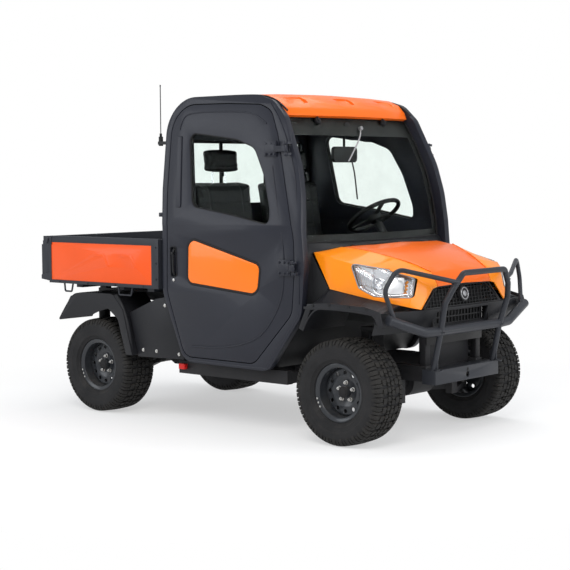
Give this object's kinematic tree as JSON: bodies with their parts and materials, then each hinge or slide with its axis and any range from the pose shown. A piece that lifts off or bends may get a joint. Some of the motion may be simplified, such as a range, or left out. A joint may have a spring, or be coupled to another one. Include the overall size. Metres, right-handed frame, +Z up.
{
  "type": "side by side utility vehicle with hard cab and tipping cargo bed",
  "caption": "Side-by-side utility vehicle with an enclosed cab, hinged doors, lift-up hood, steered front wheels, tubular front guard and a tipping cargo bed with drop tailgate.",
  "frame": {"origin": "on the ground under the middle of the overall length and width", "axes": "+X forward, +Y to the left, +Z up"},
  "size_m": [3.054, 1.56, 2.115],
  "materials": {
    "tyre_rubber": "moulded tread and matt sidewall",
    "rim_steel": "satin grey paint",
    "cab_paint": "satin slate paint",
    "orange_paint": "gloss orange paint",
    "chassis_paint": "black chassis paint",
    "guard_paint": "dark grey powder coat",
    "bed_paint": "dark grey powder coat",
    "black_plastic": "grained black plastic",
    "grille_plastic": "black moulded plastic",
    "glazing": "pale green safety glass",
    "lamp_lens": "clear polycarbonate over chromed reflectors",
    "seat_vinyl": "black grained vinyl",
    "engine_metal": "painted castings",
    "axle_metal": "black painted steel",
    "cylinder_steel": "black painted cylinder",
    "rod_steel": "hard chromed rod"
  },
  "bodies": {
    "chassis": {"antenna": "black_plastic", "cab_crossbars": "cab_paint", "cab_frame_left": "cab_paint", "cab_frame_right": "cab_paint", "chassis_frame": "chassis_paint", "cowl": "black_plastic", "dashboard": "black_plastic", "driveline": "engine_metal", "engine_block": "engine_metal", "floor_pan": "black_plastic", "front_fenders": "black_plastic", "front_guard": "guard_paint", "front_suspension": "axle_metal", "grille": "grille_plastic", "headlights": "lamp_lens", "headrests": "seat_vinyl", "interior_mirror": "black_plastic", "nose_covers": "orange_paint", "radiator": "engine_metal", "rear_axle": "axle_metal", "rear_fenders": "black_plastic", "rear_panel": "cab_paint", "rear_window": "glazing", "roof": "orange_paint", "seat_base": "black_plastic", "seat_pads": "seat_vinyl", "side_panels": "black_plastic", "steering_column": "black_plastic", "windshield": "glazing"},
    "steering_wheel": {"steering_wheel": "black_plastic"},
    "knuckle_left": {"knuckle_left": "axle_metal"},
    "knuckle_right": {"knuckle_right": "axle_metal"},
    "wheel_front_left": {"tyre_front_left": "tyre_rubber", "rim_front_left": "rim_steel"},
    "wheel_front_right": {"tyre_front_right": "tyre_rubber", "rim_front_right": "rim_steel"},
    "wheel_rear_left": {"tyre_rear_left": "tyre_rubber", "rim_rear_left": "rim_steel"},
    "wheel_rear_right": {"tyre_rear_right": "tyre_rubber", "rim_rear_right": "rim_steel"},
    "door_left": {"door_left": "cab_paint", "door_glass_left": "glazing", "door_insert_left": "orange_paint"},
    "door_right": {"door_right": "cab_paint", "door_glass_right": "glazing", "door_insert_right": "orange_paint"},
    "hood": {"hood": "orange_paint"},
    "cargo_bed": {"cargo_bed": "bed_paint", "bed_side_panels": "orange_paint"},
    "tailgate": {"tailgate": "bed_paint"},
    "hoist_barrel": {"hoist_barrel": "cylinder_steel"},
    "hoist_rod": {"hoist_rod": "rod_steel"}
  },
  "joints": [
    {"name": "bed_tip", "type": "hinge", "parent": "chassis", "child": "cargo_bed", "pos_m": [-1.285, 0, 0.812], "axis": [0, -1, 0], "range_deg": [0, 48]},
    {"name": "tailgate_hinge", "type": "hinge", "parent": "cargo_bed", "child": "tailgate", "pos_m": [-1.511, 0, 0.878], "axis": [0, -1, 0], "range_deg": [0, 90]},
    {"name": "hoist_pivot", "type": "hinge", "parent": "chassis", "child": "hoist_barrel", "pos_m": [-1.085, 0.335, 0.46], "axis": [0, -1, 0], "range_deg": [-1, 23.38]},
    {"name": "hoist_slide", "type": "slide", "parent": "hoist_barrel", "child": "hoist_rod", "axis": [0.442, 0, 0.897], "range_m": [-0.002, 0.2439]},
    {"name": "hood_lift", "type": "hinge", "parent": "chassis", "child": "hood", "pos_m": [0.847, 0, 1.121], "axis": [0, -1, 0], "range_deg": [0, 45]},
    {"name": "door_right_hinge", "type": "hinge", "parent": "chassis", "child": "door_right", "pos_m": [0.705, -0.765, 1.01], "axis": [-0.129, 0.0717, 0.9891], "range_deg": [0, 70]},
    {"name": "door_left_hinge", "type": "hinge", "parent": "chassis", "child": "door_left", "pos_m": [0.705, 0.765, 1.01], "axis": [0.129, 0.0717, -0.9891], "range_deg": [0, 70]},
    {"name": "steer_left", "type": "hinge", "parent": "chassis", "child": "knuckle_left", "pos_m": [1, 0.52, 0.309], "axis": [0, 0, 1], "range_deg": [-28, 28]},
    {"name": "steer_right", "type": "hinge", "parent": "chassis", "child": "knuckle_right", "pos_m": [1, -0.52, 0.309], "axis": [0, 0, 1], "range_deg": [-30, 30]},
    {"name": "steering_wheel_turn", "type": "hinge", "parent": "chassis", "child": "steering_wheel", "pos_m": [0.44, 0.35, 1.285], "axis": [-0.5592, 0, 0.829], "range_deg": [-430, 430]},
    {"name": "roll_front_left", "type": "hinge", "parent": "knuckle_left", "child": "wheel_front_left", "pos_m": [1, 0.621, 0.309], "axis": [0, 1, 0], "continuous": true},
    {"name": "roll_front_right", "type": "hinge", "parent": "knuckle_right", "child": "wheel_front_right", "pos_m": [1, -0.621, 0.309], "axis": [0, 1, 0], "continuous": true},
    {"name": "roll_rear_left", "type": "hinge", "parent": "chassis", "child": "wheel_rear_left", "pos_m": [-1.045, 0.596, 0.309], "axis": [0, 1, 0], "continuous": true},
    {"name": "roll_rear_right", "type": "hinge", "parent": "chassis", "child": "wheel_rear_right", "pos_m": [-1.045, -0.596, 0.309], "axis": [0, 1, 0], "continuous": true}
  ],
  "couplings": [
    {"joint": "hoist_pivot", "follows": "bed_tip", "ratio": 0.4455},
    {"joint": "hoist_slide", "follows": "bed_tip", "m_per_rad": 0.28636},
    {"joint": "steer_right", "follows": "steer_left", "ratio": 1},
    {"joint": "steering_wheel_turn", "follows": "steer_left", "ratio": 15}
  ]
}
